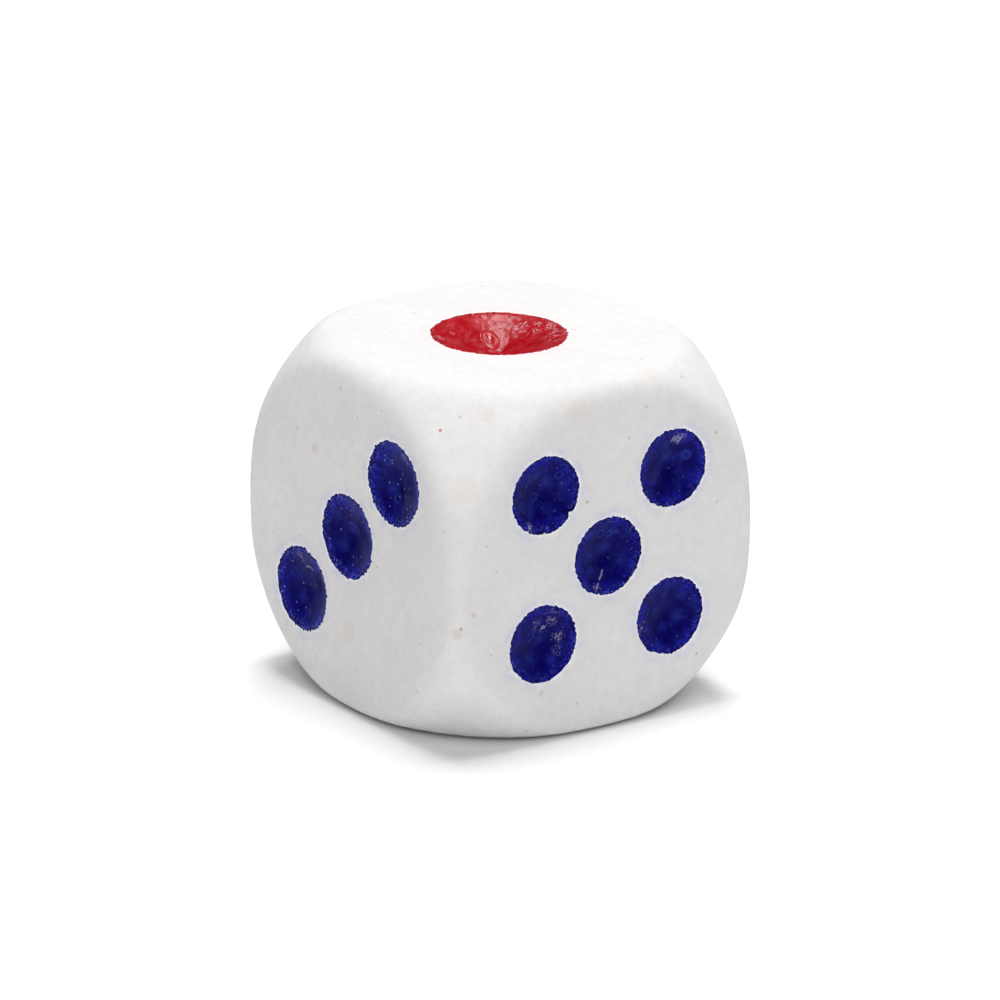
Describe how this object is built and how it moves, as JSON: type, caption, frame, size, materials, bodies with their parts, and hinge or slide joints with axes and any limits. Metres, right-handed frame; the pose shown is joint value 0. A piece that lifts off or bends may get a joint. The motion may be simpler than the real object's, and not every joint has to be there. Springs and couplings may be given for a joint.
{
  "type": "gaming die",
  "caption": "White cube-shaped gaming die with ball-rounded corners and conical pits filled with blue and red enamel.",
  "frame": {"origin": "centre of the block", "axes": "+Z out of the face with one pip, -Y out of the face with five, -X out of the face with three"},
  "size_m": [0.014, 0.014, 0.014],
  "materials": {
    "die_body": "tumbled, chalky matte",
    "blue_enamel": "dried semi-gloss paint",
    "red_enamel": "dried gloss paint"
  },
  "bodies": {
    "root": {"die_body": "die_body", "one_enamel": "red_enamel", "two_enamel_1": "blue_enamel", "two_enamel_2": "blue_enamel", "three_enamel_1": "blue_enamel", "three_enamel_2": "blue_enamel", "three_enamel_3": "blue_enamel", "four_enamel_1": "red_enamel", "four_enamel_2": "red_enamel", "four_enamel_3": "red_enamel", "four_enamel_4": "red_enamel", "five_enamel_1": "blue_enamel", "five_enamel_2": "blue_enamel", "five_enamel_3": "blue_enamel", "five_enamel_4": "blue_enamel", "five_enamel_5": "blue_enamel", "six_enamel_1": "blue_enamel", "six_enamel_2": "blue_enamel", "six_enamel_3": "blue_enamel", "six_enamel_4": "blue_enamel", "six_enamel_5": "blue_enamel", "six_enamel_6": "blue_enamel"}
  },
  "joints": []
}
